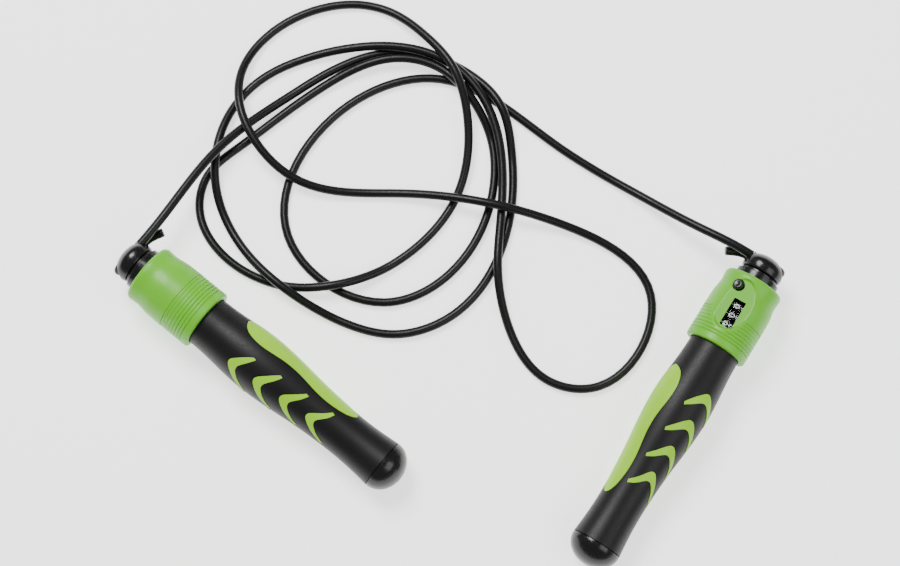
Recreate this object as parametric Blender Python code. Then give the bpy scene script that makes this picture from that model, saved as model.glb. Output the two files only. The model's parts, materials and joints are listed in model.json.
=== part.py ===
"""A jump rope with two swivel handles: moulded two-colour grips, lime collars and, in the right
collar, a three-digit turn counter. Metres, +Z up, lying on a floor at z = 0."""
import math

import bmesh
import bpy
import numpy as np
from mathutils import Vector

for old in list(bpy.data.objects):
    bpy.data.objects.remove(old, do_unlink=True)

# Handle profiles are in millimetres along the handle axis: 0 is the collar's front lip,
# positive towards the end cap. MM turns them into metres.
MM = 0.001
GAP = 0.3                 # clearance between touching pieces
STEPS = 20                # sides of the round pieces

# where the handles lie: the lip's centre in metres, heading of the cap end, nose-down pitch
LIPS = {"left": ((-0.1671, 0.0735, 0.01942), -39.1, 1.7),
        "right": ((0.1683, 0.0673, 0.01942), -121.8, 1.7)}
WAVE_SIDE = {"left": 1, "right": -1}     # the inlay pattern is mirrored between the handles
EXIT_SIDE = {"left": 1, "right": -1}     # which side of its knob the rope leaves

# rope
CORD_R = 2.5
CORD_BORE_R = CORD_R + GAP
CORD_U = -11.0            # both cord bores cross the knob here
CORD_W = CORD_BORE_R + 0.4 # height of each bore above and below the handle axis
CORD_START = 9.0          # how far out from the axis the rope starts, inside its bore
TAIL_OUT = 23.0
CORD_POINTS = 80

# swivel
PIN_R = 2.0
PIN_BORE_R = PIN_R + GAP
PIN_END_R = 1.5
CLIP_U, CLIP_T, CLIP_R = 8.3, 0.8, 4.5
BUSH_R = 8.0
BUSH_END = 8.0
FLANGE_R = 12.4
KNOB_R = 11.8
KNOB_BACK = -4.4

# collar and grip
COLLAR_END = 44.3
COLLAR_BORE_R = 15.0
COLLAR_FIT_R = COLLAR_BORE_R - GAP
COLLAR_WALL_U = 2.4
RIBS, RIB_PITCH, RIB_START, RIB_DEPTH = 7, 2.0, 26.0, 0.6
GRIP_START, GRIP_END = COLLAR_END + GAP, 168.5
SLEEVE_WALL = 1.6
GRIP_OUTLINE = [(GRIP_START, 14.7), (53.5, 15.0), (67.4, 16.15), (80, 16.8), (92, 16.4), (103.6, 15.4),
                (116, 14.1), (130, 13.15), (145.4, 12.8), (158.2, 13.3), (GRIP_END, 14.2)]
CORE_BORE_R = 9.0
SPIGOT_START = 36.7
INLAY_PROUD = 0.25
CHEVRONS, CHEVRON_PITCH, CHEVRON_START = 4, 17.2, 69.8

# counter: sizes across the handle are (y, z) about its axis, turned COUNTER_ROLL so that the
# window faces +z
COUNTER_ROLL = 6.0
MODULE = 0.55
WHEEL_TEETH, PINION_TEETH = 20, 10
WHEEL_AT = (0.0, 6.6)
PINION_AT = (6.56, 1.6)
LEVER_AT = (-10.2, 0.5)
SCREWS_AT = [(-11.0, -3.2), (11.0, -3.2)]
WHEEL_AXLE_R, PINION_AXLE_R, LEVER_PIN_R, SCREW_R = 1.2, 0.8, 0.7, 1.1
DRUM_R, DRUM_W, DIGIT_PITCH, FIRST_DIGIT = 7.0, 3.4, 5.7, 20.0
RING_W, SECTOR_W = 1.1, 0.8
FRONT_PLATE = (12.6, 14.0)
REAR_PLATE = (35.0, 36.4)
BUTTON_U, BUTTON_TILT, BUTTON_R = 9.7, 19.0, 2.8
DISH_U, DISH_TILT, DISH_HALF = (5.0, 35.0), 11.5, 32.5
DISH_FLOOR_R = 16.2
WINDOW_U, WINDOW_HALF = (16.7, 33.5), 3.5


def material(name, colour, roughness, metallic=0.0):
    made = bpy.data.materials.new(name)
    made.use_nodes = True
    shader = made.node_tree.nodes["Principled BSDF"]
    shader.inputs["Base Color"].default_value = (*colour, 1)
    shader.inputs["Roughness"].default_value = roughness
    shader.inputs["Metallic"].default_value = metallic
    made.diffuse_color = (*colour, 1)
    return made


LIME = (0.235, 0.56, 0.11)
INLAY = (0.37, 0.61, 0.08)
BLACK = (0.012, 0.012, 0.013)
GRIP_BLACK = (0.027, 0.026, 0.027)
STEEL = (0.55, 0.55, 0.56)
GREY = (0.16, 0.16, 0.17)


def empty(name, place, turn, parent=None):
    made = bpy.data.objects.new(name, None)
    made.location = place
    made.rotation_euler = turn
    made.parent = parent
    bpy.context.collection.objects.link(made)
    return made


def finish(name, bm, look, parent, cutter=False):
    """Turns a bmesh in millimetres into an object on its axis, with its own material."""
    bmesh.ops.recalc_face_normals(bm, faces=bm.faces)
    bmesh.ops.scale(bm, vec=(MM, MM, MM), verts=bm.verts)
    mesh = bpy.data.meshes.new(name)
    bm.to_mesh(mesh)
    bm.free()
    made = bpy.data.objects.new(name, mesh)
    made.parent = parent
    bpy.context.collection.objects.link(made)
    if cutter:
        made.hide_render = True
        made.display_type = "WIRE"
    else:
        mesh.materials.append(material(name, *look))
        mesh.shade_smooth()
    return made


def combine(body, others, operation):
    for other in others:
        step = body.modifiers.new(operation.lower(), "BOOLEAN")
        step.operation = operation
        step.solver = "EXACT"
        step.object = other


def skin(bm, rings, closed):
    """Joins rings of vertices (one vertex stands for a point on the axis) into a surface."""
    pairs = list(zip(rings, rings[1:])) + ([(rings[-1], rings[0])] if closed else [])
    for a, b in pairs:
        count = max(len(a), len(b))
        for i in range(count):
            j = (i + 1) % count
            corners = [a[i % len(a)], a[j % len(a)], b[j % len(b)], b[i % len(b)]]
            bm.faces.new(list(dict.fromkeys(corners)))


def turned(bm, outline, steps=STEPS, at=(0.0, 0.0), phase=0.0):
    """A round piece about the handle's direction, from its (u, radius) outline. An outline that
    touches the axis at both ends is solid, any other is a closed loop round a bore."""
    rings = []
    for u, r in outline:
        count = 1 if r == 0 else steps
        angles = [math.tau * i / count + phase for i in range(count)]
        rings.append([bm.verts.new((u, at[0] + r * math.cos(a), at[1] + r * math.sin(a))) for a in angles])
    skin(bm, rings, closed=outline[0][1] != 0)


def rod(bm, u0, u1, r, at=(0.0, 0.0), steps=16):
    turned(bm, [(u0, 0), (u0, r), (u1, r), (u1, 0)], steps, at)


def ring(bm, u0, u1, bore, r, at=(0.0, 0.0), steps=STEPS):
    turned(bm, [(u0, bore), (u0, r), (u1, r), (u1, bore)], steps, at)


def extruded(bm, outline, u0, u1):
    """A flat (y, z) outline carried from u0 to u1."""
    ends = [[bm.verts.new((u, y, z)) for y, z in outline] for u in (u0, u1)]
    bm.faces.new(ends[0])
    bm.faces.new(ends[1])
    skin(bm, ends, closed=False)


def box(bm, u, y, z):
    extruded(bm, [(y[0], z[0]), (y[1], z[0]), (y[1], z[1]), (y[0], z[1])], *u)


def tube(bm, path, radius, sides=12):
    """A round bar along a path of points."""
    path = [Vector(p) for p in path]
    side = None
    rings = []
    for i, p in enumerate(path):
        along = (path[min(i + 1, len(path) - 1)] - path[max(i - 1, 0)]).normalized()
        if side is None:
            side = along.orthogonal().normalized()
        side = (side - along * side.dot(along)).normalized()
        up = along.cross(side)
        rings.append([bm.verts.new(p + radius * (side * math.cos(a) + up * math.sin(a)))
                      for a in (math.tau * k / sides for k in range(sides))])
    skin(bm, rings, closed=False)
    bm.faces.new(rings[0])
    bm.faces.new(rings[-1])


def wrapped(bm, outline, inner, outer, side):
    """A pad that follows the handle's round surface. The outline is (u, degrees from the top
    towards `side`); inner and outer give its two radii at any u."""
    flat = bmesh.new()
    flat.faces.new([flat.verts.new((u, math.radians(a), 0)) for u, a in outline])
    angles = [a for _, a in outline]
    bends = [((0, math.radians(20 * k), 0), (0, 1, 0))
             for k in range(math.ceil(min(angles) / 20), math.floor(max(angles) / 20) + 1)]
    bends += [((u, 0, 0), (1, 0, 0)) for u, _ in GRIP_OUTLINE if outline[0][0] < u < outline[0][0] + 75]
    for place, normal in bends:
        geometry = flat.verts[:] + flat.edges[:] + flat.faces[:]
        bmesh.ops.bisect_plane(flat, geom=geometry, plane_co=place, plane_no=normal)
    layers = []
    for radius in (inner, outer):
        layers.append([bm.verts.new((v.co.x, side * radius(v.co.x) * math.sin(v.co.y),
                                     radius(v.co.x) * math.cos(v.co.y))) for v in flat.verts])
    flat.verts.index_update()
    for layer in layers:
        for face in flat.faces:
            bm.faces.new([layer[v.index] for v in face.verts])
    for edge in flat.edges:
        if edge.is_boundary:
            a, b = (v.index for v in edge.verts)
            bm.faces.new([layers[0][a], layers[0][b], layers[1][b], layers[1][a]])
    flat.free()


def grip_radius(u):
    return float(np.interp(u, [p[0] for p in GRIP_OUTLINE], [p[1] for p in GRIP_OUTLINE]))


def wave_outline():
    """The long inlay beside the grip's spine, in (u, degrees from the top)."""
    edge = [(63.5, 58), (66.8, 33), (75.8, 24), (84.7, 26), (94, 32), (103.6, 33.5), (112.5, 29.5),
            (123.7, 27.5), (134.8, 33.5), (140.5, 45)]
    return edge + [(142.6, 60), (138, 74), (128, 83), (112, 84), (96, 84), (74, 81), (65.6, 72)]


def chevron_outline(k):
    """One of the row of arrows, in (u, degrees from the top)."""
    u, a = CHEVRON_START + CHEVRON_PITCH * k, -38 + 3.4 * k
    return [(u, a), (u + 3.4, a + 18), (u + 11, a + 36 + 3 * k), (u + 8.0, a + 15),
            (u + 5.6, a), (u + 9.0, a - 16), (u + 13.6, a - 37), (u + 4.6, a - 20)]


def grown(outline, by):
    """The outline moved outwards by a distance in millimetres, measured on the grip's surface."""
    flat = [Vector((u, math.radians(a) * grip_radius(u))) for u, a in outline]
    ahead = [(flat[(i + 1) % len(flat)] - p).normalized() for i, p in enumerate(flat)]
    area = sum(p.x * q.y - q.x * p.y for p, q in zip(flat, flat[1:] + flat[:1]))
    turn = math.copysign(by, area)
    moved = []
    for i, p in enumerate(flat):
        n1, n2 = (Vector((d.y, -d.x)) for d in (ahead[i - 1], ahead[i]))
        q = p + (n1 + n2) * turn / max(1 + n1.dot(n2), 0.25)
        moved.append((q.x, math.degrees(q.y / grip_radius(q.x))))
    return moved


def inlay_pads(bm, inner, outer, side, gap):
    """Both faces of the grip carry the same pattern, mirrored front to back."""
    for pad in [wave_outline()] + [chevron_outline(k) for k in range(CHEVRONS)]:
        if gap:
            pad = grown(pad, gap)
        wrapped(bm, pad, inner, outer, side)
        wrapped(bm, [(u, 180 - a) for u, a in pad], inner, outer, side)


def toothed(teeth, phase, cut_to=None, keep=None):
    """Radii of a gear's outline at four points a tooth, as (angle, radius). Teeth outside
    `keep` are cut down to `cut_to`."""
    pitch_r = MODULE * teeth / 2
    tip, root = pitch_r + 0.45, pitch_r - 0.62
    points = []
    for k in range(teeth):
        middle = phase + math.tau * k / teeth
        for offset, r in ((-0.3, root), (-0.11, tip), (0.11, tip), (0.3, root)):
            whole = keep is None or k in keep
            half = offset * MODULE * math.pi / (tip if r == tip else root)
            points.append((middle + half, r if whole else cut_to))
    return points


def gear(bm, sections, bore, at):
    """Stacked outlines of equal point count round one bore: (u0, u1, [(angle, radius), ...])."""
    rings = []
    for u0, u1, points in sections:
        for u in (u0, u1):
            rings.append([bm.verts.new((u, at[0] + r * math.cos(a), at[1] + r * math.sin(a)))
                          for a, r in points])
    for u in (sections[-1][1], sections[0][0]):
        rings.append([bm.verts.new((u, at[0] + bore * math.cos(a), at[1] + bore * math.sin(a)))
                      for a, _ in sections[0][2]])
    skin(bm, rings, closed=True)


def direction(a, b):
    return math.atan2(b[1] - a[1], b[0] - a[0])


# The swivel: everything that stays with the rope while a handle turns
for side in ("left", "right"):
    lip, heading, pitch = LIPS[side]
    axis = empty(f"{side}_axis", lip, (0, math.radians(pitch), math.radians(heading)))
    out = EXIT_SIDE[side]

    # the cord goes through the knob, round a U-turn in the notch and back, and ends in a tail
    turn = [math.radians(90 + 180 * i / 8) for i in range(9)]
    loop = [(CORD_U, out * (-7.8 + CORD_W * math.cos(a)), CORD_W * math.sin(a)) for a in turn]
    bm = bmesh.new()
    tube(bm, [(CORD_U, out * 14, CORD_W)] + loop + [(CORD_U, out * 14, -CORD_W)], CORD_BORE_R)
    bores = finish(f"{side}_cord_bores", bm, None, axis, cutter=True)
    bm = bmesh.new()
    tail = [(CORD_U, out * 11, -CORD_W), (CORD_U + 0.6, out * 15, -CORD_W + 0.1),
            (CORD_U + 2.2, out * 19, -CORD_W + 0.4), (CORD_U + 4.4, out * TAIL_OUT, -CORD_W + 0.9)]
    tube(bm, [(CORD_U, out * (CORD_START - GAP), CORD_W)] + loop + tail, CORD_R)
    finish(f"{side}_cord_end", bm, (BLACK, 0.25), axis)

    bm = bmesh.new()
    turned(bm, [(-15.4, 0), (-15.1, 3.4), (-14.2, 6.6), (-12.6, 9.4), (-10.6, 11.2), (-8.4, KNOB_R),
                (-5.4, KNOB_R - 0.2), (KNOB_BACK, KNOB_R - 0.8), (KNOB_BACK, PIN_BORE_R),
                (-7.7, PIN_BORE_R), (-7.7, 0)])
    knob = finish(f"{side}_knob", bm, (BLACK, 0.3), axis)
    combine(knob, [bores], "DIFFERENCE")

    groove = [(-7.4, 0), (-7.4, PIN_R), (BUSH_END, PIN_R), (BUSH_END, PIN_END_R)]
    if side == "left":
        groove += [(CLIP_U + CLIP_T + GAP, PIN_END_R), (CLIP_U + CLIP_T + GAP, PIN_R), (15.7, PIN_R), (15.7, 0)]
    else:
        groove += [(16.6, PIN_END_R), (16.6, 0)]
    bm = bmesh.new()
    turned(bm, groove, 16)
    finish(f"{side}_swivel_pin", bm, (STEEL, 0.3, 1.0), axis)

    bm = bmesh.new()
    ring(bm, KNOB_BACK + GAP, -3.2, PIN_BORE_R, 5.0, steps=16)
    finish(f"{side}_thrust_washer", bm, ((0.8, 0.8, 0.78), 0.4), axis)

    bm = bmesh.new()
    arc = [math.radians(35 + 290 * i / 12) for i in range(13)]
    outline = [(CLIP_R * math.cos(a), CLIP_R * math.sin(a)) for a in arc]
    outline += [((PIN_END_R + GAP) * math.cos(a), (PIN_END_R + GAP) * math.sin(a)) for a in reversed(arc)]
    extruded(bm, outline, CLIP_U, CLIP_U + CLIP_T)
    finish(f"{side}_retaining_clip", bm, (STEEL, 0.35, 1.0), axis)

    # the handle: bush, collar, two-colour grip and cap
    bm = bmesh.new()
    turned(bm, [(KNOB_BACK + GAP, 5.3), (KNOB_BACK + GAP, 11.0), (-2.6, 11.0), (-2.6, FLANGE_R),
                (-GAP, FLANGE_R), (-GAP, BUSH_R), (BUSH_END, BUSH_R), (BUSH_END, PIN_BORE_R),
                (-2.9, PIN_BORE_R), (-2.9, 5.3)])
    finish(f"{side}_neck_bush", bm, (BLACK, 0.35), axis)

    outline = [(0, BUSH_R + GAP), (0, 15.6), (0.8, 16.6), (3.0, 17.0), (8.4, 16.7), (14.5, 17.6), (20, 17.85)]
    for k in range(RIBS):
        u = RIB_START + RIB_PITCH * k
        outline += [(u, 18.0), (u + RIB_PITCH / 2, 18.0 - RIB_DEPTH)]
    outline += [(RIB_START + RIB_PITCH * RIBS, 18.0), (43.4, 17.9), (COLLAR_END, 17.3),
                (COLLAR_END, COLLAR_BORE_R), (COLLAR_WALL_U, COLLAR_BORE_R), (COLLAR_WALL_U, BUSH_R + GAP)]
    bm = bmesh.new()
    turned(bm, outline, 28)
    collar = finish(f"{side}_collar", bm, (LIME, 0.45), axis)

    front = [(SPIGOT_START, 0), (SPIGOT_START, COLLAR_FIT_R), (COLLAR_END, COLLAR_FIT_R)]
    back = [(u, r - SLEEVE_WALL - GAP) for u, r in GRIP_OUTLINE]
    front += [(COLLAR_END, back[0][1])]
    bm = bmesh.new()
    turned(bm, front + back[1:] + [(GRIP_END, CORE_BORE_R), (41, CORE_BORE_R), (41, 0)])
    core = finish(f"{side}_grip_core", bm, (INLAY, 0.45), axis)
    bm = bmesh.new()
    inlay_pads(bm, lambda u: grip_radius(u) - SLEEVE_WALL - 1.0, lambda u: grip_radius(u) + INLAY_PROUD,
               WAVE_SIDE[side], 0.0)
    pads = finish(f"{side}_inlay_pads", bm, None, axis, cutter=True)
    combine(core, [pads], "UNION")

    bm = bmesh.new()
    inside = [(u, r - SLEEVE_WALL) for u, r in reversed(GRIP_OUTLINE)]
    turned(bm, GRIP_OUTLINE + inside)
    sleeve = finish(f"{side}_grip_sleeve", bm, (GRIP_BLACK, 0.6), axis)
    bm = bmesh.new()
    inlay_pads(bm, lambda u: grip_radius(u) - SLEEVE_WALL - 1.0, lambda u: grip_radius(u) + 2.0,
               WAVE_SIDE[side], GAP + 0.25)
    windows = finish(f"{side}_sleeve_windows", bm, None, axis, cutter=True)
    combine(sleeve, [windows], "DIFFERENCE")

    bm = bmesh.new()
    cap_u = GRIP_END + GAP
    dome = [(cap_u + 12.4 * math.sin(a), 14.3 * math.cos(a)) for a in (math.radians(d) for d in (12, 30, 48, 66, 82))]
    turned(bm, [(160, 0), (160, CORE_BORE_R - GAP), (cap_u, CORE_BORE_R - GAP), (cap_u, 14.2)]
           + dome + [(cap_u + 12.5, 0)])
    finish(f"{side}_end_cap", bm, (BLACK, 0.3), axis)

    if side == "left":
        bm = bmesh.new()
        turned(bm, [(12.6, PIN_BORE_R), (12.6, 5.0), (13.8, 5.0), (13.8, 12.7), (11.6, 12.7),
                    (11.6, COLLAR_FIT_R), (17.0, COLLAR_FIT_R), (17.0, 12.7), (14.8, 12.7), (14.8, 5.0),
                    (16.0, 5.0), (16.0, PIN_BORE_R)])
        finish("left_bearing_carrier", bm, (GREY, 0.5), axis)
        continue

    # the counter, inside the right collar
    counter = empty("counter_axes", (0, 0, 0), (math.radians(COUNTER_ROLL), 0, 0), axis)
    tilt = math.radians(BUTTON_TILT)
    button_axis = empty("reset_button_axis", (BUTTON_U * MM, 0, 0), (tilt, 0, 0), counter)

    bm = bmesh.new()
    middle, half = sum(DISH_U) / 2, (DISH_U[1] - DISH_U[0]) / 2
    oval = [(middle + half * math.cos(a), DISH_TILT + DISH_HALF * math.sin(a))
            for a in (math.tau * i / 22 for i in range(22))]
    wrapped(bm, oval, lambda u: DISH_FLOOR_R, lambda u: 21.0, WAVE_SIDE[side])
    dish = finish("dish_cut", bm, None, axis, cutter=True)
    bm = bmesh.new()
    box(bm, WINDOW_U, (-WINDOW_HALF, WINDOW_HALF), (12, 18))
    window = finish("window_cut", bm, None, counter, cutter=True)
    bm = bmesh.new()
    box(bm, (WINDOW_U[0] - 1.8, WINDOW_U[1] + 1.3), (-4.5, 4.5), (12, 14.6))
    pocket = finish("lens_pocket", bm, None, counter, cutter=True)
    bm = bmesh.new()
    bmesh.ops.create_cone(bm, cap_ends=True, segments=20, radius1=BUTTON_R + 0.4, radius2=BUTTON_R + 0.4, depth=8)
    bmesh.ops.translate(bm, vec=(0, 0, 16), verts=bm.verts)
    hole = finish("button_hole", bm, None, button_axis, cutter=True)
    combine(collar, [dish, pocket, window, hole], "DIFFERENCE")

    bm = bmesh.new()
    lens_u = (WINDOW_U[0] + GAP, WINDOW_U[1] - GAP)
    box(bm, lens_u, (-WINDOW_HALF + GAP, WINDOW_HALF - GAP), (14.0, 15.4))
    lens = finish("window_lens", bm, ((0.75, 0.78, 0.8), 0.05), counter)
    bm = bmesh.new()
    box(bm, (WINDOW_U[0] - 1.5, WINDOW_U[1] + 1.0), (-4.2, 4.2), (DRUM_R + WHEEL_AT[1] + GAP, 14.3))
    flange = finish("lens_flange", bm, None, counter, cutter=True)
    combine(lens, [flange], "UNION")

    # frame: two plates, two rails and the shelf under the reset spring
    bm = bmesh.new()
    rod(bm, *FRONT_PLATE, COLLAR_FIT_R, steps=STEPS)
    counter_frame = finish("counter_frame", bm, (GREY, 0.5), counter)
    extras = []
    bm = bmesh.new()
    rod(bm, *REAR_PLATE, COLLAR_FIT_R, steps=STEPS)
    extras.append(finish("rear_plate", bm, None, counter, cutter=True))
    for sign in (-1, 1):
        bm = bmesh.new()
        box(bm, (FRONT_PLATE[1] - 0.5, REAR_PLATE[0] + 0.5), sorted((sign * 7.5, sign * 10.5)), (-10.0, -8.2))
        extras.append(finish(f"rail_{sign + 2}", bm, None, counter, cutter=True))
    bm = bmesh.new()
    box(bm, (-2.6, FRONT_PLATE[0] + 0.5 - BUTTON_U), (-3.0, 3.0), (9.6, 10.6))
    extras.append(finish("spring_shelf", bm, None, button_axis, cutter=True))
    combine(counter_frame, extras, "UNION")
    bm = bmesh.new()
    rod(bm, 11, 15, PIN_END_R + GAP)
    rod(bm, 11, 38, WHEEL_AXLE_R + GAP, WHEEL_AT, 18)
    rod(bm, 11, 38, PINION_AXLE_R + GAP, PINION_AT)
    rod(bm, 11, 15, 1.9 + GAP, LEVER_AT)
    rod(bm, 34, 38, LEVER_PIN_R + GAP, LEVER_AT)
    for at in SCREWS_AT:
        rod(bm, 34, 38, SCREW_R + GAP, at)
    bores = finish("frame_bores", bm, None, counter, cutter=True)
    bm = bmesh.new()
    bmesh.ops.create_cone(bm, cap_ends=True, segments=16, radius1=1.5, radius2=1.5, depth=4)
    bmesh.ops.translate(bm, vec=(0, 0, 10), verts=bm.verts)
    stem_hole = finish("stem_hole", bm, None, button_axis, cutter=True)
    bm = bmesh.new()
    box(bm, (1.5, 5.0), (-4.3, 4.3), (11.6, 16))
    notch = finish("flange_notch", bm, None, button_axis, cutter=True)
    combine(counter_frame, [bores, stem_hole, notch], "DIFFERENCE")
    bm = bmesh.new()
    for at in SCREWS_AT:
        rod(bm, SPIGOT_START - 1, 42.9, SCREW_R + GAP, at)
    pilot = finish("screw_pilots", bm, None, counter, cutter=True)
    combine(core, [pilot], "DIFFERENCE")

    for name, at, r, u0, u1 in (("wheel_axle", WHEEL_AT, WHEEL_AXLE_R, FRONT_PLATE[0], REAR_PLATE[1]),
                                ("pinion_axle", PINION_AT, PINION_AXLE_R, FRONT_PLATE[0], REAR_PLATE[1]),
                                ("reset_lever_pin", LEVER_AT, LEVER_PIN_R, 8.9, REAR_PLATE[1])):
        bm = bmesh.new()
        rod(bm, u0, u1, r, at, 12)
        finish(name, bm, (STEEL, 0.3, 1.0), counter)
    for k, at in enumerate(SCREWS_AT):
        bm = bmesh.new()
        turned(bm, [(33.3, 0), (33.3, 2.2), (34.7, 2.2), (34.7, SCREW_R), (42.4, SCREW_R), (42.4, 0)], 12, at)
        finish(f"frame_screw_{k + 1}", bm, (STEEL, 0.35, 1.0), counter)

    # gear train: the drive dog on the pin, a pinion and a digit wheel for each place
    bm = bmesh.new()
    dog = [(math.radians(15 * i), 3.4 if i in (9, 11) else 2.6) for i in range(24)]
    gear(bm, [(14.8, 16.0, dog)], PIN_END_R + GAP, (0, 0))
    finish("drive_gear", bm, (GREY, 0.4), counter)
    to_pinion = direction(WHEEL_AT, PINION_AT)
    to_wheel = direction(PINION_AT, WHEEL_AT)
    for k, place in enumerate(("units", "tens", "hundreds")):
        u = FIRST_DIGIT + DIGIT_PITCH * k
        drum_u = (u - DRUM_W / 2, u + DRUM_W / 2)
        hub = empty(f"{place}_wheel_axis", (0, WHEEL_AT[0] * MM, WHEEL_AT[1] * MM), (0, 0, 0), counter)
        ringed = toothed(WHEEL_TEETH, to_pinion)
        plain = [(a, DRUM_R) for a, _ in ringed]
        sector = toothed(WHEEL_TEETH, to_pinion, cut_to=4.5, keep=(10, 11))
        bm = bmesh.new()
        sections = [(drum_u[0] - RING_W, drum_u[0], ringed), (*drum_u, plain)]
        if place != "hundreds":     # the last wheel carries to nothing
            sections.append((drum_u[1], drum_u[1] + SECTOR_W, sector))
        gear(bm, sections, WHEEL_AXLE_R + GAP, (0, 0))
        finish(f"{place}_wheel", bm, (BLACK, 0.4), hub)
        hub = empty(f"{place}_pinion_axis", (0, PINION_AT[0] * MM, PINION_AT[1] * MM), (0, 0, 0), counter)
        start = 14.8 if k == 0 else drum_u[0] - DIGIT_PITCH + DRUM_W + GAP
        bm = bmesh.new()
        points = toothed(PINION_TEETH, to_wheel + math.pi / PINION_TEETH)
        gear(bm, [(start, drum_u[0] - GAP, points)], PINION_AXLE_R + GAP, (0, 0))
        finish(f"{place}_pinion", bm, ((0.75, 0.74, 0.7), 0.45), hub)

    # reset: a sprung button that tips a comb of fingers in between the drums
    bm = bmesh.new()
    outline = [(8.9, 0), (8.9, 1.2), (13.2, 1.2), (13.2, 3.8), (14.1, 3.8), (14.1, BUTTON_R), (18.0, BUTTON_R),
               (18.6, BUTTON_R - 0.6), (18.7, 0)]
    turned(bm, outline, 20)
    bmesh.ops.rotate(bm, cent=(0, 0, 0), matrix=Vector((1, 0, 0)).rotation_difference((0, 0, 1)).to_matrix(), verts=bm.verts)
    finish("reset_button", bm, (BLACK, 0.3), button_axis)
    bm = bmesh.new()
    coil = [(1.9 * math.cos(a), 1.9 * math.sin(a), 10.95 + 1.9 * i / 40) for i, a in
            enumerate(math.tau * 3.5 * i / 40 for i in range(41))]
    tube(bm, coil, 0.2, 6)
    finish("reset_spring", bm, (STEEL, 0.3, 1.0), button_axis)

    lever_axis = empty("reset_lever_axis", (0, LEVER_AT[0] * MM, LEVER_AT[1] * MM), (0, 0, 0), counter)
    bm = bmesh.new()
    ring(bm, 9.2, 33.0, LEVER_PIN_R + GAP, 1.9, steps=16)
    lever = finish("reset_lever", bm, (GREY, 0.4), lever_axis)
    fingers = []
    finger = [(-0.7, 1.4), (0.7, 1.4), (2.8, 5.4), (2.8, 6.8), (1.2, 6.8)]
    tab = [(0.6, 1.6), (1.6, 0.9), (6.2, 6.1), (9.24, 7.2), (8.91, 8.15), (5.89, 7.11)]
    for u0, u1, outline in [(9.2, 10.4, tab)] + [(FIRST_DIGIT + DIGIT_PITCH * k - 3.4, FIRST_DIGIT + DIGIT_PITCH * k - 2.3, finger)
                                                 for k in range(3)]:
        bm = bmesh.new()
        extruded(bm, outline, u0, u1)
        fingers.append(finish(f"finger_{len(fingers)}", bm, None, lever_axis, cutter=True))
    combine(lever, fingers, "UNION")

# The rope's route across the floor, from knob to knob, in metres. Its first and last points are
# inside the knobs' bores and the next ones straight out of them.
ROUTE = [
    (-0.130, 0.143, 0.0140), (-0.090, 0.178, 0.0029), (-0.028, 0.204, 0.0026), (0.017, 0.186, 0.0057),
    (0.029, 0.171, 0.0082), (0.035, 0.147, 0.0036), (0.035, 0.114, 0.0026), (0.005, 0.054, 0.0026),
    (-0.030, 0.041, 0.0026), (-0.066, 0.051, 0.0030), (-0.094, 0.068, 0.0087), (-0.118, 0.094, 0.0034),
    (-0.130, 0.122, 0.0048), (-0.131, 0.137, 0.0082), (-0.119, 0.175, 0.0026), (-0.059, 0.205, 0.0054),
    (0.003, 0.194, 0.0084), (0.0215, 0.171, 0.0084), (0.0285, 0.102, 0.0072), (0.027, 0.081, 0.0082),
    (0.033, 0.045, 0.0028), (0.053, 0.016, 0.0026), (0.083, 0.012, 0.0026), (0.112, 0.063, 0.0026),
    (0.059, 0.104, 0.0070), (0.028, 0.112, 0.0126), (-0.027, 0.121, 0.0040), (-0.087, 0.129, 0.0082),
    (-0.118, 0.174, 0.0120), (-0.115, 0.197, 0.0055), (-0.068, 0.231, 0.0026), (-0.037, 0.229, 0.0032),
    (-0.012, 0.210, 0.0105), (0.002, 0.192, 0.0142), (0.010, 0.166, 0.0105), (0.004, 0.119, 0.0026),
    (-0.036, 0.078, 0.0030), (-0.069, 0.067, 0.0080), (-0.095, 0.069, 0.0027), (-0.125, 0.085, 0.0026),
    (-0.1395, 0.111, 0.0026), (-0.135, 0.1325, 0.0026), (-0.119, 0.1475, 0.0026), (-0.067, 0.186, 0.0034), (-0.031, 0.199, 0.0070),
    (-0.005, 0.193, 0.0074), (0.0113, 0.177, 0.0082), (0.023, 0.155, 0.0030), (0.0255, 0.132, 0.0026),
    (0.000, 0.075, 0.0026), (-0.036, 0.059, 0.0026), (-0.090, 0.097, 0.0026), (-0.066, 0.165, 0.0026),
    (-0.005, 0.188, 0.0026), (0.062, 0.148, 0.0026), (0.107, 0.119, 0.0060), (0.138, 0.098, 0.0190)]


def smooth(points, per_span):
    """Points along the natural cubic spline through the route."""
    p = np.array(points)
    step = np.linalg.norm(np.diff(p, axis=0), axis=1)
    count = len(p)
    system, right = np.eye(count), np.zeros((count, 3))
    for i in range(1, count - 1):
        system[i, i - 1:i + 2] = step[i - 1], 2 * (step[i - 1] + step[i]), step[i]
        right[i] = 6 * ((p[i + 1] - p[i]) / step[i] - (p[i] - p[i - 1]) / step[i - 1])
    bend = np.linalg.solve(system, right)
    found = []
    for i, h in enumerate(step):
        for x in (h * k / per_span for k in range(per_span)):
            found.append((bend[i] * (h - x) ** 3 + bend[i + 1] * x ** 3) / (6 * h)
                         + (p[i] / h - bend[i] * h / 6) * (h - x) + (p[i + 1] / h - bend[i + 1] * h / 6) * x)
    # the floor holds up any stretch between two humps
    return [(x, y, max(z, CORD_R * MM + 0.0001)) for x, y, z in found + [p[-1]]]


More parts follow.
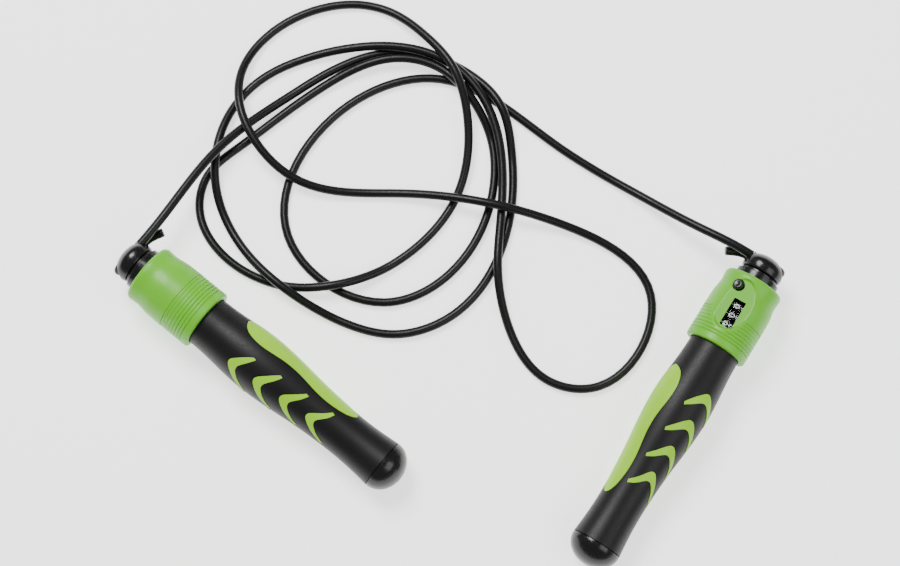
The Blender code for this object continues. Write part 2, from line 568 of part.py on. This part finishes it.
bpy.context.view_layer.update()
ends = []
for side in ("left", "right"):
    frame = bpy.data.objects[f"{side}_axis"].matrix_world
    ends.append([tuple(frame @ (Vector((CORD_U, EXIT_SIDE[side] * out, CORD_W)) * MM))
                 for out in (CORD_START, CORD_START + 9)])
dense = np.array(smooth(ends[0] + ROUTE + ends[1][::-1], 12))
run = np.concatenate([[0], np.cumsum(np.linalg.norm(np.diff(dense, axis=0), axis=1))])
even = np.linspace(0, run[-1], CORD_POINTS)
points = np.stack([np.interp(even, run, dense[:, k]) for k in range(3)], axis=1)
curve = bpy.data.curves.new("jump_cord", "CURVE")
curve.dimensions = "3D"
curve.bevel_depth = CORD_R * MM
curve.bevel_resolution = 2
curve.use_fill_caps = True
spline = curve.splines.new("POLY")
spline.points.add(len(points) - 1)
for target, p in zip(spline.points, points):
    target.co = (*p, 1)
curve.materials.append(material("jump_cord", BLACK, 0.25))
bpy.context.collection.objects.link(bpy.data.objects.new("jump_cord", curve))
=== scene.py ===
"""The finished look of the jump rope: two lime and black swivel handles with a turn counter, and
a black cord in loose loops on a pale studio floor. Metres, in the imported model's own frame."""
import json
import math

import bmesh
import bpy
import numpy as np
from mathutils import Matrix, Vector


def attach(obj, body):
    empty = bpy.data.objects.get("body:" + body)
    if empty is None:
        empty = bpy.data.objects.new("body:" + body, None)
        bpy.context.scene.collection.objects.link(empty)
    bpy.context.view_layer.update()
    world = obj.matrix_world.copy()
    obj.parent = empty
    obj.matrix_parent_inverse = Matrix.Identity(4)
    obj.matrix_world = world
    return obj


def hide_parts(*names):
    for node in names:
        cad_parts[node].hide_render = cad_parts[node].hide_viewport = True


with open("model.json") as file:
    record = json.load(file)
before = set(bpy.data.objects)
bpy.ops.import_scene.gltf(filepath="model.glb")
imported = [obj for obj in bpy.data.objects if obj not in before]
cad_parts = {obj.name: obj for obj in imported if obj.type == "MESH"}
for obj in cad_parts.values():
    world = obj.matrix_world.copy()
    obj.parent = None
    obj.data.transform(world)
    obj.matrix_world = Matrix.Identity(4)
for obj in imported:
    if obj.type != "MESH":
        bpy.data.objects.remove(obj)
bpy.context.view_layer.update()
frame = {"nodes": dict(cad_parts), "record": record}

# Camera: high above the handles and a little towards the caps, on a long lens, so that the
# handles lie at the picture's sides and the loops fill its middle.
LOOK_AT = Vector((0.0005, 0.0706, 0.0))
elevation, distance = math.radians(78), 1.337
camera = bpy.data.objects.new("camera", bpy.data.cameras.new("camera"))
camera.data.lens = 96
camera.data.clip_start = 0.01
camera.location = LOOK_AT + distance * Vector((0, -math.cos(elevation), math.sin(elevation)))
camera.rotation_euler = (math.radians(90) - elevation, 0, 0)
bpy.context.collection.objects.link(camera)
bpy.context.scene.camera = camera

# Skipping cord: one line of 5 mm black PVC, two and a half metres from knob to knob, lying in
# loose turns as it was dropped. It is a round curve on a listed route in metres, and both
# ends run straight into the bores of the knobs.
MM = 0.001
CORD_R = 2.5  # the sizes of pieces on a handle are in millimetres on its own axis
CORD_U, CORD_W = -11.0, 3.2  # where the two bores lie: along the axis, above and below it
CORD_START, STRAIGHT = 9.0, 9.0  # how far beside the axis the cord begins, and runs straight
POINTS_PER_SPAN = 12
CLEAR_OF_FLOOR = 0.0001
EXIT_SIDE = {"left": 1, "right": -1}
joints = {joint["name"]: joint for joint in frame["record"]["behaviour"]["joints"]}


def handle_frame(side, roll=0.0):
    """From millimetres on a handle's axis, u from the lip to the cap and z up, to the frame."""
    joint = joints[f"{side}_swivel"]
    along = Vector(joint["axis"]).normalized()
    across = Vector((0, 0, 1)).cross(along).normalized()
    heading = Matrix((along, across, along.cross(across))).transposed().to_4x4()
    return (Matrix.Translation(joint["pos_m"]) @ heading
            @ Matrix.Rotation(math.radians(roll), 4, "X") @ Matrix.Scale(MM, 4))


def smooth(points, per_span):
    """Points along the natural cubic spline through a list of points."""
    p = np.array(points, dtype=float)
    step = np.linalg.norm(np.diff(p, axis=0), axis=1)
    count = len(p)
    system, right = np.eye(count), np.zeros(p.shape)
    for i in range(1, count - 1):
        system[i, i - 1:i + 2] = step[i - 1], 2 * (step[i - 1] + step[i]), step[i]
        right[i] = 6 * ((p[i + 1] - p[i]) / step[i] - (p[i] - p[i - 1]) / step[i - 1])
    bend = np.linalg.solve(system, right)
    found = []
    for i, h in enumerate(step):
        for x in (h * k / per_span for k in range(per_span)):
            found.append((bend[i] * (h - x) ** 3 + bend[i + 1] * x ** 3) / (6 * h)
                         + (p[i] / h - bend[i] * h / 6) * (h - x)
                         + (p[i + 1] / h - bend[i + 1] * h / 6) * x)
    return [tuple(q) for q in found + [p[-1]]]


def plastic(name, colour, roughness, grain=900.0, bump=0.1, tint=0.06, coat=0.0, metallic=0.0,
            blotch=35.0, spread=0.08, transmission=0.0, shine=0.5, glow=0.0):
    """A moulded surface: fine grain in the bump, slow drift in the colour and the roughness."""
    made = bpy.data.materials.new(name)
    made.use_nodes = True
    nodes, links = made.node_tree.nodes, made.node_tree.links
    shader = nodes["Principled BSDF"]
    shader.inputs["Metallic"].default_value = metallic
    shader.inputs["Coat Weight"].default_value = coat
    shader.inputs["Coat Roughness"].default_value = 0.12
    shader.inputs["Transmission Weight"].default_value = transmission
    shader.inputs["Specular IOR Level"].default_value = shine
    shader.inputs["Emission Color"].default_value = (1, 1, 1, 1)
    shader.inputs["Emission Strength"].default_value = glow
    place = nodes.new("ShaderNodeTexCoord")
    slow = nodes.new("ShaderNodeTexNoise")
    slow.inputs["Scale"].default_value = blotch
    slow.inputs["Detail"].default_value = 5
    links.new(place.outputs["Object"], slow.inputs["Vector"])
    ramp = nodes.new("ShaderNodeValToRGB")
    darker, lighter = ramp.color_ramp.elements
    darker.position, lighter.position = 0.3, 0.7
    darker.color = (*[c * (1 - tint) for c in colour], 1)
    lighter.color = (*[min(c * (1 + tint), 1) for c in colour], 1)
    links.new(slow.outputs["Fac"], ramp.inputs["Fac"])
    links.new(ramp.outputs["Color"], shader.inputs["Base Color"])
    fine = nodes.new("ShaderNodeTexNoise")
    fine.inputs["Scale"].default_value = grain
    fine.inputs["Detail"].default_value = 3
    links.new(place.outputs["Object"], fine.inputs["Vector"])
    spreader = nodes.new("ShaderNodeMapRange")
    spreader.inputs["From Min"].default_value = 0.3
    spreader.inputs["From Max"].default_value = 0.7
    spreader.inputs["To Min"].default_value = max(roughness - spread, 0.02)
    spreader.inputs["To Max"].default_value = roughness + spread
    links.new(fine.outputs["Fac"], spreader.inputs["Value"])
    links.new(spreader.outputs["Result"], shader.inputs["Roughness"])
    relief = nodes.new("ShaderNodeBump")
    relief.inputs["Strength"].default_value = bump
    relief.inputs["Distance"].default_value = 0.0002
    links.new(fine.outputs["Fac"], relief.inputs["Height"])
    links.new(relief.outputs["Normal"], shader.inputs["Normal"])
    return made


def bar(name, path, radii, fineness=8):
    """A round bar on a curve object, along a path of points, with a radius at each."""
    line = bpy.data.curves.new(name, "CURVE")
    line.dimensions = "3D"
    line.bevel_depth = 1.0
    line.bevel_resolution = fineness
    line.use_fill_caps = True
    spline = line.splines.new("POLY")
    spline.points.add(len(path) - 1)
    for point, place, radius in zip(spline.points, path, radii):
        point.co, point.radius = (*place, 1), radius
    spline.use_smooth = True
    made = bpy.data.objects.new(name, line)
    bpy.context.collection.objects.link(made)
    return made


ROUTE = [
    (-0.130, 0.143, 0.0140), (-0.090, 0.178, 0.0029), (-0.028, 0.204, 0.0026),
    (0.017, 0.186, 0.0057), (0.029, 0.171, 0.0082), (0.035, 0.147, 0.0036),
    (0.035, 0.114, 0.0026), (0.005, 0.054, 0.0026), (-0.030, 0.041, 0.0026),
    (-0.066, 0.051, 0.0030), (-0.094, 0.068, 0.0087), (-0.118, 0.094, 0.0034),
    (-0.130, 0.122, 0.0048), (-0.131, 0.137, 0.0082), (-0.119, 0.175, 0.0026),
    (-0.059, 0.205, 0.0054), (0.003, 0.194, 0.0084), (0.0215, 0.171, 0.0084),
    (0.0285, 0.102, 0.0072), (0.027, 0.081, 0.0082), (0.033, 0.045, 0.0028),
    (0.053, 0.016, 0.0026), (0.083, 0.012, 0.0026), (0.112, 0.063, 0.0026),
    (0.059, 0.104, 0.0070), (0.028, 0.112, 0.0126), (-0.027, 0.121, 0.0040),
    (-0.087, 0.129, 0.0082), (-0.118, 0.174, 0.0120), (-0.115, 0.197, 0.0055),
    (-0.068, 0.231, 0.0026), (-0.037, 0.229, 0.0032), (-0.012, 0.210, 0.0105),
    (0.002, 0.192, 0.0142), (0.010, 0.166, 0.0105), (0.004, 0.119, 0.0026),
    (-0.036, 0.078, 0.0030), (-0.069, 0.067, 0.0080), (-0.095, 0.069, 0.0027),
    (-0.125, 0.085, 0.0026), (-0.1395, 0.111, 0.0026), (-0.135, 0.1325, 0.0026),
    (-0.119, 0.1475, 0.0026), (-0.067, 0.186, 0.0034), (-0.031, 0.199, 0.0070),
    (-0.005, 0.193, 0.0074), (0.0113, 0.177, 0.0082), (0.023, 0.155, 0.0030),
    (0.0255, 0.132, 0.0026), (0.000, 0.075, 0.0026), (-0.036, 0.059, 0.0026),
    (-0.090, 0.097, 0.0026), (-0.066, 0.165, 0.0026), (-0.005, 0.188, 0.0026),
    (0.062, 0.148, 0.0026), (0.107, 0.119, 0.0060), (0.138, 0.098, 0.0190)]
leads = [[tuple(handle_frame(side) @ Vector((CORD_U, EXIT_SIDE[side] * out, CORD_W)))
          for out in (CORD_START, CORD_START + STRAIGHT)] for side in ("left", "right")]
lowest = CORD_R * MM + CLEAR_OF_FLOOR
route = [(x, y, max(z, lowest))
         for x, y, z in smooth(leads[0] + ROUTE + leads[1][::-1], POINTS_PER_SPAN)]
cord_look = plastic("cord_look", (0.004, 0.004, 0.0042), 0.36, grain=1400, bump=0.05, tint=0.15,
                    blotch=60, shine=0.22)
cord = bar("skipping_cord", route, [CORD_R * MM] * len(route))
cord.data.materials.append(cord_look)
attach(cord, "rope")
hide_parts("jump_cord")


# Cord ends: the same PVC line goes through the upper bore of the knob, round a tight turn, back
# through the lower bore, and comes out as a short tail cut square.
TURN_OUT, TURN_STEPS = -5.9, 24  # the turn's centre beside the axis


def taken(holder):
    """The mesh that an object shows, as a bmesh with its doubles merged; the object goes."""
    bpy.context.view_layer.update()
    shown = holder.evaluated_get(bpy.context.evaluated_depsgraph_get())
    bm = bmesh.new()
    bm.from_mesh(bpy.data.meshes.new_from_object(shown))
    bpy.data.objects.remove(holder, do_unlink=True)
    bmesh.ops.remove_doubles(bm, verts=bm.verts, dist=1e-4)
    return bm


def piece(name, bm, matrix, look, body, *nodes, sharp=35):
    """A finished piece: its mesh carried into the frame, its material, its body and its nodes."""
    bmesh.ops.recalc_face_normals(bm, faces=bm.faces)
    bm.transform(matrix)
    mesh = bpy.data.meshes.new(name)
    bm.to_mesh(mesh)
    bm.free()
    mesh.shade_smooth()
    mesh.set_sharp_from_angle(angle=math.radians(sharp))
    mesh.materials.append(look)
    made = bpy.data.objects.new(name, mesh)
    bpy.context.collection.objects.link(made)
    if body:
        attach(made, body)
        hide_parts(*nodes)
    return made


def turn_in_knob(out):
    """The path of the cord's tight turn inside the notch of a knob."""
    return [(CORD_U, out * (TURN_OUT + CORD_W * math.cos(a)), CORD_W * math.sin(a))
            for a in (math.radians(90 + 180 * i / TURN_STEPS) for i in range(TURN_STEPS + 1))]


for side in ("left", "right"):
    out = EXIT_SIDE[side]
    stub = smooth([(CORD_U, out * 10, -CORD_W), (CORD_U + 0.6, out * 15, -CORD_W + 0.1),
                   (CORD_U + 2.2, out * 19, -CORD_W + 0.4),
                   (CORD_U + 4.4, out * 23, -CORD_W + 0.9)], 6)
    path = [(CORD_U, out * (CORD_START - 0.3), CORD_W)] + turn_in_knob(out) + stub
    end = bar("end", path, [CORD_R] * (len(path) - 1) + [CORD_R - 0.25], fineness=14)
    piece(f"{side}_cord_tail", taken(end), handle_frame(side), cord_look, "rope",
                       f"{side}_cord_end")


# Knobs: glossy black moulded domes that hold the cord. Each is turned, then bored across twice
# for the cord, with a crescent notch where the cord turns back.
BORE_GAP, NOTCH = 0.3, 1.9  # room round the cord, and how much wider the notch is
BORE_OUT = 14.0


def turned(outline, steps=128):
    """A round piece about the handle's axis, spun from its (u, radius) outline."""
    bm = bmesh.new()
    ring = [bm.verts.new((u, 0, r)) for u, r in outline]
    pairs = list(zip(ring, ring[1:])) + ([(ring[-1], ring[0])] if outline[0][1] else [])
    edges = [bm.edges.new(pair) for pair in pairs]
    bmesh.ops.spin(bm, geom=ring + edges, cent=(0, 0, 0), axis=(1, 0, 0), dvec=(0, 0, 0),
                   angle=math.tau, steps=steps, use_merge=True)
    bmesh.ops.remove_doubles(bm, verts=bm.verts, dist=1e-4)
    return bm


def cut(made, cutters):
    """Cuts shapes out of a piece and throws the cutters away."""
    for cutter in cutters:
        step = made.modifiers.new("cut", "BOOLEAN")
        step.operation, step.solver, step.object = "DIFFERENCE", "EXACT", cutter
    graph = bpy.context.evaluated_depsgraph_get()
    result = bpy.data.meshes.new_from_object(made.evaluated_get(graph))
    made.modifiers.clear()
    made.data = result
    result.set_sharp_from_angle(angle=math.radians(35))
    for cutter in cutters:
        bpy.data.objects.remove(cutter, do_unlink=True)


gloss_black = plastic("gloss_black", (0.0035, 0.0035, 0.0038), 0.24, grain=700, bump=0.05,
                      tint=0.15, coat=0.05, shine=0.35)
knob_dome = smooth([(-15.4, 0), (-15.1, 3.4), (-14.2, 6.6), (-12.6, 9.4), (-10.6, 11.2),
                    (-8.4, 11.8), (-5.4, 11.6)], 8)
for side in ("left", "right"):
    out = EXIT_SIDE[side]
    bm = turned([(-15.4, 0)] + knob_dome[1:] + [(-4.7, 11.3), (-4.4, 10.8), (-4.4, 2.3),
                                               (-7.7, 2.3), (-7.7, 0)])
    knob = piece(f"{side}_knob_shell", bm, handle_frame(side), gloss_black, "rope",
                 f"{side}_knob")
    bore = [CORD_R + BORE_GAP + NOTCH * math.sin(math.pi * i / TURN_STEPS) ** 2
            for i in range(TURN_STEPS + 1)]
    path = ([(CORD_U, out * BORE_OUT, CORD_W)] + turn_in_knob(out)
            + [(CORD_U, out * BORE_OUT, -CORD_W)])
    borer = bar("borer", path, [bore[0]] + bore + [bore[-1]], fineness=14)
    cut(knob, [piece("bores", taken(borer), handle_frame(side), gloss_black, None)])

# Swivel necks: stepped black rings, pressed into the collars, that the knobs turn against. They
# are also the bushes of the swivel pins, and are turned in one piece.
for side in ("left", "right"):
    bm = turned([(-4.1, 5.3), (-4.1, 10.7), (-3.8, 11.0), (-2.6, 11.0), (-2.6, 12.1),
                 (-2.3, 12.4), (0.8, 12.4), (1.1, 12.1), (1.1, 8.0), (8.0, 8.0), (8.0, 2.3),
                 (-2.9, 2.3), (-2.9, 5.3)])
    piece(f"{side}_neck_ring", bm, handle_frame(side), gloss_black, f"{side}_handle",
          f"{side}_neck_bush")


# Swivel works: headed steel pins with their clips, nylon washers that take the pull, the driver
# on the counter handle's pin, and the carrier in the plain handle. They lie inside.
def dress(look, *names):
    """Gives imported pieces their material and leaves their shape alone."""
    for name in names:
        slots = frame["nodes"][name].data.materials
        slots.clear()
        slots.append(look)


steel_look = plastic("steel_look", (0.55, 0.55, 0.56), 0.3, metallic=1.0, grain=1600, bump=0.15)
white_look = plastic("white_look", (0.93, 0.93, 0.91), 0.45, tint=0.02)
grey_look = plastic("grey_look", (0.16, 0.16, 0.17), 0.45)
dress(steel_look, "left_swivel_pin", "right_swivel_pin", "left_retaining_clip",
      "right_retaining_clip")
dress(white_look, "left_thrust_washer", "right_thrust_washer")
dress(grey_look, "drive_gear", "left_bearing_carrier")

# Collars: lime moulded shells, waisted, with a rounded lip, rounded ribs and a plain rim. Each is
# turned, then its outer wall is drawn in for the ribs and, on the counter handle, for an oval
# dish with a flat floor, where the ribs fade out.
LIP, RIM, WALL_R, PITCH = 1.4, 44.3, 15.0, 0.22
RIB_START, RIB_END, RIB_PITCH, RIB_DEPTH = 26.0, 40.0, 2.0, 0.62
DISH_U, DISH_HALF_U, DISH_TILT, DISH_HALF = 20.0, 15.0, 11.5, 32.5  # mm, mm, degrees, degrees
DISH_FLOOR, FLOOR_TILT = 15.7, 6.0  # mm from the axis, degrees
DISH_EDGE, DISH_SLOPE = 1.05, 0.09  # shares of the oval
RIB_FADE, RIB_FADE_OVER = 1.08, 0.14
WAVE_SIDE = {"left": 1, "right": -1}
lime_look = plastic("lime_look", (0.12, 0.45, 0.012), 0.4, grain=1100, bump=0.08, tint=0.03,
                    coat=0.03, shine=0.35)
side_line = np.array(smooth([(1.0, 16.75), (3.0, 17.0), (8.4, 16.75), (14.5, 17.55),
                             (20, 17.85), (26, 18.0), (33, 18.0), (40, 18.0), (43.2, 17.9)], 10))
wall = [(float(u), float(np.interp(u, side_line[:, 0], side_line[:, 1])))
        for u in np.arange(LIP + 1.6, 43.3, PITCH)]
outline = ([(LIP, 15.7), (LIP + 0.15, 16.15), (LIP + 0.5, 16.5), (LIP + 1.1, 16.75)] + wall
           + [(43.8, 17.75), (44.1, 17.55), (RIM, 17.2), (RIM, WALL_R), (LIP + 1.2, WALL_R),
              (LIP + 1.2, 8.3), (LIP, 8.3)])
for side in ("left", "right"):
    bm = turned(outline, steps=360 if side == "right" else 160)
    for v in bm.verts:
        u, a = v.co.x, math.atan2(WAVE_SIDE[side] * v.co.y, v.co.z)
        outer = radius = math.hypot(v.co.y, v.co.z)
        if outer < WALL_R + 0.5:
            continue
        off = 9.0  # how far outside the oval dish, where 1 is its edge
        if side == "right":
            off = math.hypot((u - DISH_U) / DISH_HALF_U, (math.degrees(a) - DISH_TILT) / DISH_HALF)
        if RIB_START < u < RIB_END:
            show = min(max((off - RIB_FADE) / RIB_FADE_OVER, 0), 1)
            ridge = abs(math.sin(math.pi * (u - RIB_START) / RIB_PITCH)) ** 0.55
            radius -= RIB_DEPTH * (1 - ridge) * show
        if off < DISH_EDGE:
            sink = min((DISH_EDGE - off) / DISH_SLOPE, 1)
            sink = sink * sink * (3 - 2 * sink)
            flat = min(DISH_FLOOR / math.cos(a - math.radians(FLOOR_TILT)), radius)
            radius += (flat - radius) * sink
        v.co.yz = v.co.y * radius / outer, v.co.z * radius / outer
    collar = piece(f"{side}_collar_shell", bm, handle_frame(side), lime_look, f"{side}_handle",
                   f"{side}_collar")

# Counter opening: a rounded slot for the window with a pocket behind it, and a round hole for
# the reset button, cut through the floor of the dish. The collar made last is the counter's.
BUTTON_U, BUTTON_TURN, HOLE_R = 9.7, 19.0, 3.45
counter = handle_frame("right", FLOOR_TILT)
button_frame = counter @ Matrix.Rotation(math.radians(BUTTON_TURN), 4, "X")
slot = bmesh.new()
bmesh.ops.create_cube(slot, size=1, matrix=Matrix.LocRotScale((25.1, 0, 15.5), None,
                                                             (16.8, 7.0, 7.0)))
corners = [e for e in slot.edges if abs(e.verts[0].co.z - e.verts[1].co.z) > 1]
bmesh.ops.bevel(slot, geom=corners, offset=0.6, offset_type="OFFSET", affect="EDGES", segments=6,
                profile=0.5, material=-1)
pocket = bmesh.new()
bmesh.ops.create_cube(pocket, size=1, matrix=Matrix.LocRotScale((24.8, 0, 13.3), None,
                                                               (19.9, 9.0, 2.6)))
hole = bmesh.new()
bmesh.ops.create_cone(hole, cap_ends=True, segments=64, radius1=HOLE_R, radius2=HOLE_R,
                      depth=8, matrix=Matrix.Translation((BUTTON_U, 0, 16)))
cut(collar, [piece("pocket", pocket, counter, lime_look, None),
             piece("slot", slot, counter, lime_look, None),
             piece("hole", hole, button_frame, lime_look, None)])

# Counter works: a dark moulded frame held by two screws, three digit drums on a steel axle,
# their transfer pinions on another, and the reset lever and spring. They show through the window.
wheel_look = plastic("wheel_look", (0.004, 0.004, 0.004), 0.4)
dress(wheel_look, "counter_frame", "units_wheel", "tens_wheel", "hundreds_wheel",
      "units_pinion", "tens_pinion", "hundreds_pinion")
dress(steel_look, "wheel_axle", "pinion_axle", "frame_screw_1", "frame_screw_2", "reset_spring",
      "reset_lever_pin")
dress(grey_look, "reset_lever")

# Digits: ten white numerals printed round each drum, with their tops towards the wave side. The
# hundreds drum rests part-way between two of them. Each is text, bent round its drum.
DRUM_R, DRUM_W, DRUM_PITCH, FIRST_U = 7.03, 6.6, 5.7, 20.0
DIGIT_SIZE, BOLDER, NARROW, PRINT = 5.3, 0.06, 0.85, 0.04
for k, (drum, lag) in enumerate((("units", 0.0), ("tens", 0.0), ("hundreds", 9.0))):
    bm = bmesh.new()
    for digit in range(10):
        text = bpy.data.curves.new("numeral", "FONT")
        text.body, text.size = str(digit), DIGIT_SIZE
        text.align_x = text.align_y = "CENTER"
        text.offset, text.extrude = BOLDER, PRINT
        numeral = bpy.data.objects.new("numeral", text)
        bpy.context.collection.objects.link(numeral)
        flat = taken(numeral)
        for across in np.arange(-2.5, 2.6, 0.4):
            bmesh.ops.bisect_plane(flat, geom=flat.verts[:] + flat.edges[:] + flat.faces[:],
                                   plane_co=(0, across, 0), plane_no=(0, 1, 0))
        for v in flat.verts:
            a = math.radians(36 * digit + lag) + v.co.y / 7.0
            r = DRUM_R + v.co.z - PRINT
            v.co = (FIRST_U + DRUM_PITCH * k - NARROW * v.co.x, -r * math.sin(a),
                    DRUM_W + r * math.cos(a))
        wrapped = bpy.data.meshes.new("wrapped")
        flat.to_mesh(wrapped)
        flat.free()
        bm.from_mesh(wrapped)
    digits = piece(f"{drum}_digits", bm, counter, white_look, None)
    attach(digits, f"{drum}_wheel_body")

# Window: a clear moulded pane, glued in the slot over the drums. Its index is low, so that the
# drums show through it without a mirrored sky.
lens_look = plastic("lens_look", (0.95, 0.96, 0.97), 0.04, bump=0.01, tint=0.0, spread=0.01,
                    transmission=1.0, shine=0.15)
lens_look.node_tree.nodes["Principled BSDF"].inputs["IOR"].default_value = 1.08
dress(lens_look, "window_lens")

# Reset button: a round black cap with a shallow dimple, on a stem whose flange keeps it in the
# collar. It is turned, then stood upright in the dish.
bm = turned([(8.9, 0), (8.9, 1.2), (13.2, 1.2), (13.2, 3.8), (14.1, 3.8), (14.1, 2.8),
             (18.0, 2.8), (18.35, 2.68), (18.6, 2.4), (18.7, 2.05), (18.6, 1.3), (18.5, 0.6),
             (18.48, 0)], steps=64)
upright = Matrix.Translation((BUTTON_U, 0, 0)) @ Matrix.Rotation(math.radians(-90), 4, "Y")
piece("reset_cap", bm, button_frame @ upright, gloss_black, "reset_button_body", "reset_button")

# Grip sleeves: soft black rubber, moulded over the lime core and shaped to the hand, with a
# hidden spigot that plugs into the collar.
grip_line = smooth([(44.6, 14.7), (53.5, 15.0), (67.4, 16.15), (80, 16.8), (92, 16.4),
                    (103.6, 15.4), (116, 14.1), (130, 13.15), (145.4, 12.8), (158.2, 13.3),
                    (168.5, 14.2)], 8)
SLEEVE = 1.6
grip_look = plastic("grip_look", (0.0052, 0.005, 0.0053), 0.45, grain=1500, bump=0.15, tint=0.12,
                    shine=0.24)
for side in ("left", "right"):
    inner = [(u, r - SLEEVE) for u, r in reversed(grip_line)]
    bm = turned([(36.7, 9.0), (36.7, 14.6), (44.5, 14.6)] + grip_line + [(168.5, 14.0)]
                + inner[:-1] + [(44.6, 9.0)], steps=160)
    piece(f"{side}_grip_skin", bm, handle_frame(side), grip_look, f"{side}_handle",
          f"{side}_grip_sleeve")


# Grip inlays: the lime core stands a little proud of the sleeve as a long wave beside each spine
# and a row of four arrows between them, the same on the far side. Each pad is drawn flat, inset
# for its soft edge, wrapped round the grip and given a wall.
FLAT_R = 15.0  # the radius at which a pad is drawn flat
RISE, SUNK, SOFT_EDGE, PAD = 0.3, 0.35, 0.7, 0.5


def inlay(outline, side):
    """A pad that follows the grip, from an outline of (u, degrees)."""
    flat = bmesh.new()
    flat.faces.new([flat.verts.new((u, math.radians(a) * FLAT_R, 0)) for u, a in outline])
    bmesh.ops.inset_region(flat, faces=flat.faces[:], thickness=SOFT_EDGE, use_boundary=True,
                           use_even_offset=True)
    rim = {v for e in flat.edges if e.is_boundary for v in e.verts}
    for v in flat.verts:
        v.co.z = 0 if v in rim else 1
    for axis, step in ((0, 2.5), (1, 1.0)):
        spans = [v.co[axis] for v in flat.verts]
        for k in range(math.ceil(min(spans) / step), math.floor(max(spans) / step) + 1):
            place, normal = Vector(), Vector()
            place[axis], normal[axis] = k * step, 1
            bmesh.ops.bisect_plane(flat, geom=flat.verts[:] + flat.edges[:] + flat.faces[:],
                                   plane_co=place, plane_no=normal)
    for v in flat.verts:
        r = float(np.interp(v.co.x, [p[0] for p in grip_line], [p[1] for p in grip_line]))
        r += (SUNK + RISE) * math.sin(v.co.z * math.pi / 2) - SUNK
        a = v.co.y / FLAT_R
        v.co.y, v.co.z = side * r * math.sin(a), r * math.cos(a)
    flat.normal_update()
    top = max(flat.faces, key=lambda face: face.calc_area())
    if top.normal.dot((0, *top.calc_center_median().yz)) < 0:
        bmesh.ops.reverse_faces(flat, faces=flat.faces[:])
    bmesh.ops.solidify(flat, geom=flat.faces[:], thickness=PAD)
    pad = bpy.data.meshes.new("pad")
    flat.to_mesh(pad)
    flat.free()
    return pad


def wave():
    """The long wave beside a spine, as (u, degrees from the spine)."""
    front = smooth([(63.6, 57), (65.6, 40), (70.2, 28.5), (75.8, 24.3), (84.7, 25.8), (94, 31),
                    (103.6, 32.5), (112.5, 29.5), (123.7, 26.8), (131, 29.5), (137.5, 36),
                    (141.6, 46), (142.8, 56)], 5)
    back = smooth([(142.8, 56), (141.8, 64), (138, 73), (130, 81), (118, 84.5), (96, 84.5),
                   (78, 83), (69, 77), (65.2, 69), (63.6, 57)], 4)
    return front[:-1] + back[:-1]


def arrow(k):
    """The outline of arrow k, counted from the collar, as (u, degrees)."""
    u, a = 69.6 + 17.1 * k, -37.5 + 3.4 * k
    outer = smooth([(u + 14.2, a - 44), (u + 8.0, a - 31), (u + 3.2, a - 17), (u + 0.4, a - 5),
                    (u + 0.2, a + 3), (u + 2.2, a + 12), (u + 6.0, a + 24),
                    (u + 10.4, a + 35 + 2.5 * k)], 5)
    inner = smooth([(u + 12.1, a + 33.5 + 2.5 * k), (u + 9.6, a + 21), (u + 7.2, a + 10),
                    (u + 5.8, a + 1), (u + 6.2, a - 9), (u + 8.4, a - 20), (u + 12.4, a - 34),
                    (u + 15.6, a - 42)], 5)
    return outer + inner


inlay_look = plastic("inlay_look", (0.29, 0.62, 0.007), 0.45, grain=1300, bump=0.1, tint=0.035,
                     shine=0.3)
for side in ("left", "right"):
    bm = bmesh.new()
    for pattern in [wave()] + [arrow(k) for k in range(4)]:
        bm.from_mesh(inlay(pattern, WAVE_SIDE[side]))
        bm.from_mesh(inlay([(u, 180 - a) for u, a in pattern], WAVE_SIDE[side]))
    piece(f"{side}_grip_inlays", bm, handle_frame(side), inlay_look, f"{side}_handle",
          f"{side}_grip_core", sharp=60)

# End caps: glossy black moulded domes, turned with the plug that is pressed into the grip. A fine
# seam shows between the dome and the sleeve.
CAP_U, CAP_R, CAP_H = 168.8, 14.3, 12.2
cap_dome = [(CAP_U + 0.5 + CAP_H * math.sin(a), CAP_R * math.cos(a))
            for a in (math.radians(3 * d) for d in range(1, 30))]
for side in ("left", "right"):
    bm = turned([(160, 0), (160, 8.7), (CAP_U, 8.7), (CAP_U, 13.9), (CAP_U + 0.15, 14.2)]
                + cap_dome + [(CAP_U + 12.7, 0)])
    piece(f"{side}_cap_dome", bm, handle_frame(side), gloss_black, f"{side}_handle",
          f"{side}_end_cap")

# Studio: a plain pale floor that glows a little, one broad light overhead behind the handles, a
# softer fill in front of them and a white surround.
bm = bmesh.new()
bmesh.ops.create_grid(bm, x_segments=1, y_segments=1, size=6)
floor_look = plastic("floor_look", (0.93, 0.93, 0.93), 0.7, bump=0.0, tint=0.0, shine=0.1,
                     glow=1.45)
piece("studio_floor", bm, Matrix.Identity(4), floor_look, None)
for name, place, size, power in (("key", (-0.45, 0.8, 1.4), 0.7, 34),
                                 ("fill", (0.9, -0.5, 1.2), 1.0, 10)):
    light = bpy.data.objects.new(name, bpy.data.lights.new(name, "AREA"))
    light.data.size, light.data.energy = size, power
    light.location = place
    aim = Vector((0, 0.05, 0)) - light.location
    light.rotation_euler = aim.to_track_quat("-Z", "Y").to_euler()
    bpy.context.collection.objects.link(light)
world = bpy.data.worlds.new("studio")
world.use_nodes = True
world.node_tree.nodes["Background"].inputs["Color"].default_value = (1, 1, 1, 1)
world.node_tree.nodes["Background"].inputs["Strength"].default_value = 0.35
bpy.context.scene.world = world
